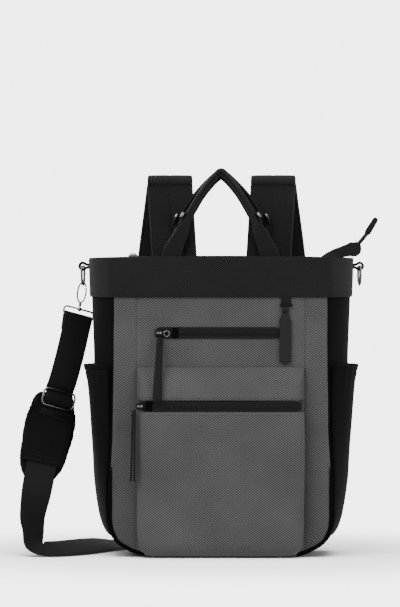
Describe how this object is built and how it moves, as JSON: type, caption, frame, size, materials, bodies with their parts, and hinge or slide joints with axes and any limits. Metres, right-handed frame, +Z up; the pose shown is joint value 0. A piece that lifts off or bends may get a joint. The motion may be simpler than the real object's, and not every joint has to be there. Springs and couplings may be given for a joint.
{
  "type": "convertible backpack",
  "caption": "Rounded tote that also wears as a backpack, with padded shoulder straps, paired handles, zip pockets and a clip-on strap with a shoulder pad.",
  "frame": {"origin": "centre of the flat base, on the surface that the bag stands on", "axes": "+Z up, the front with its pockets faces -Y, +X to the right seen from the front"},
  "size_m": [0.4428, 0.2349, 0.4832],
  "materials": {
    "grey_fabric": "grey woven nylon with a small diamond texture",
    "black_fabric": "black woven nylon",
    "webbing": "black flat webbing and zip tape",
    "leather": "smooth dark grey leather",
    "nickel": "polished nickel plate",
    "plastic": "black moulded plastic"
  },
  "bodies": {
    "bag": {"back_panel": "black_fabric", "base_panel": "black_fabric", "clip_strap": "webbing", "d_ring_left": "nickel", "d_ring_right": "nickel", "front_panel": "grey_fabric", "front_strip_left": "grey_fabric", "front_strip_right": "grey_fabric", "handle_back": "leather", "handle_front": "leather", "handle_stud_back_left": "nickel", "handle_stud_back_right": "nickel", "handle_stud_front_left": "nickel", "handle_stud_front_right": "nickel", "hook_left": "nickel", "hook_right": "nickel", "hook_ring_left": "nickel", "hook_ring_right": "nickel", "key_bar": "nickel", "key_loop": "webbing", "key_tab": "leather", "ladder_lock_left": "plastic", "ladder_lock_right": "plastic", "main_zip_slider": "nickel", "main_zip_tape": "webbing", "pad_sleeve": "black_fabric", "pocket_front": "grey_fabric", "pocket_yoke": "grey_fabric", "pocket_zip_pull": "leather", "pocket_zip_slider": "nickel", "pocket_zip_tape": "webbing", "ring_loop_left": "webbing", "ring_loop_right": "webbing", "shoulder_pad": "black_fabric", "shoulder_strap_left": "black_fabric", "shoulder_strap_right": "black_fabric", "side_gusset_left": "black_fabric", "side_gusset_right": "black_fabric", "side_pocket_left": "black_fabric", "side_pocket_right": "black_fabric", "strap_slider": "nickel", "strap_webbing_lower_left": "webbing", "strap_webbing_lower_right": "webbing", "strap_webbing_upper_left": "webbing", "strap_webbing_upper_right": "webbing", "top_band_back": "black_fabric", "top_band_front": "black_fabric", "top_band_left": "black_fabric", "top_band_right": "black_fabric", "upper_zip_pull": "leather", "upper_zip_ring": "nickel", "upper_zip_slider": "nickel", "upper_zip_tape": "webbing", "zip_panel_back": "black_fabric", "zip_panel_front": "black_fabric", "zip_tail_end": "leather", "zip_tail_tab": "webbing", "zip_tail_wing": "black_fabric"},
    "gate_left": {"hook_gate_left": "nickel"},
    "gate_right": {"hook_gate_right": "nickel"}
  },
  "joints": [
    {"name": "gate_left_hinge", "type": "hinge", "parent": "bag", "child": "gate_left", "pos_m": [-0.17228, 0.02, 0.31802], "axis": [0, -1, 0], "range_deg": [0, 22], "stiffness_Nm_per_rad": 0.01, "springref_deg": -5.73},
    {"name": "gate_right_hinge", "type": "hinge", "parent": "bag", "child": "gate_right", "pos_m": [0.05866, 0.11398, 0.0045], "axis": [0, 0, -1], "range_deg": [0, 22], "stiffness_Nm_per_rad": 0.01, "springref_deg": -5.73}
  ]
}
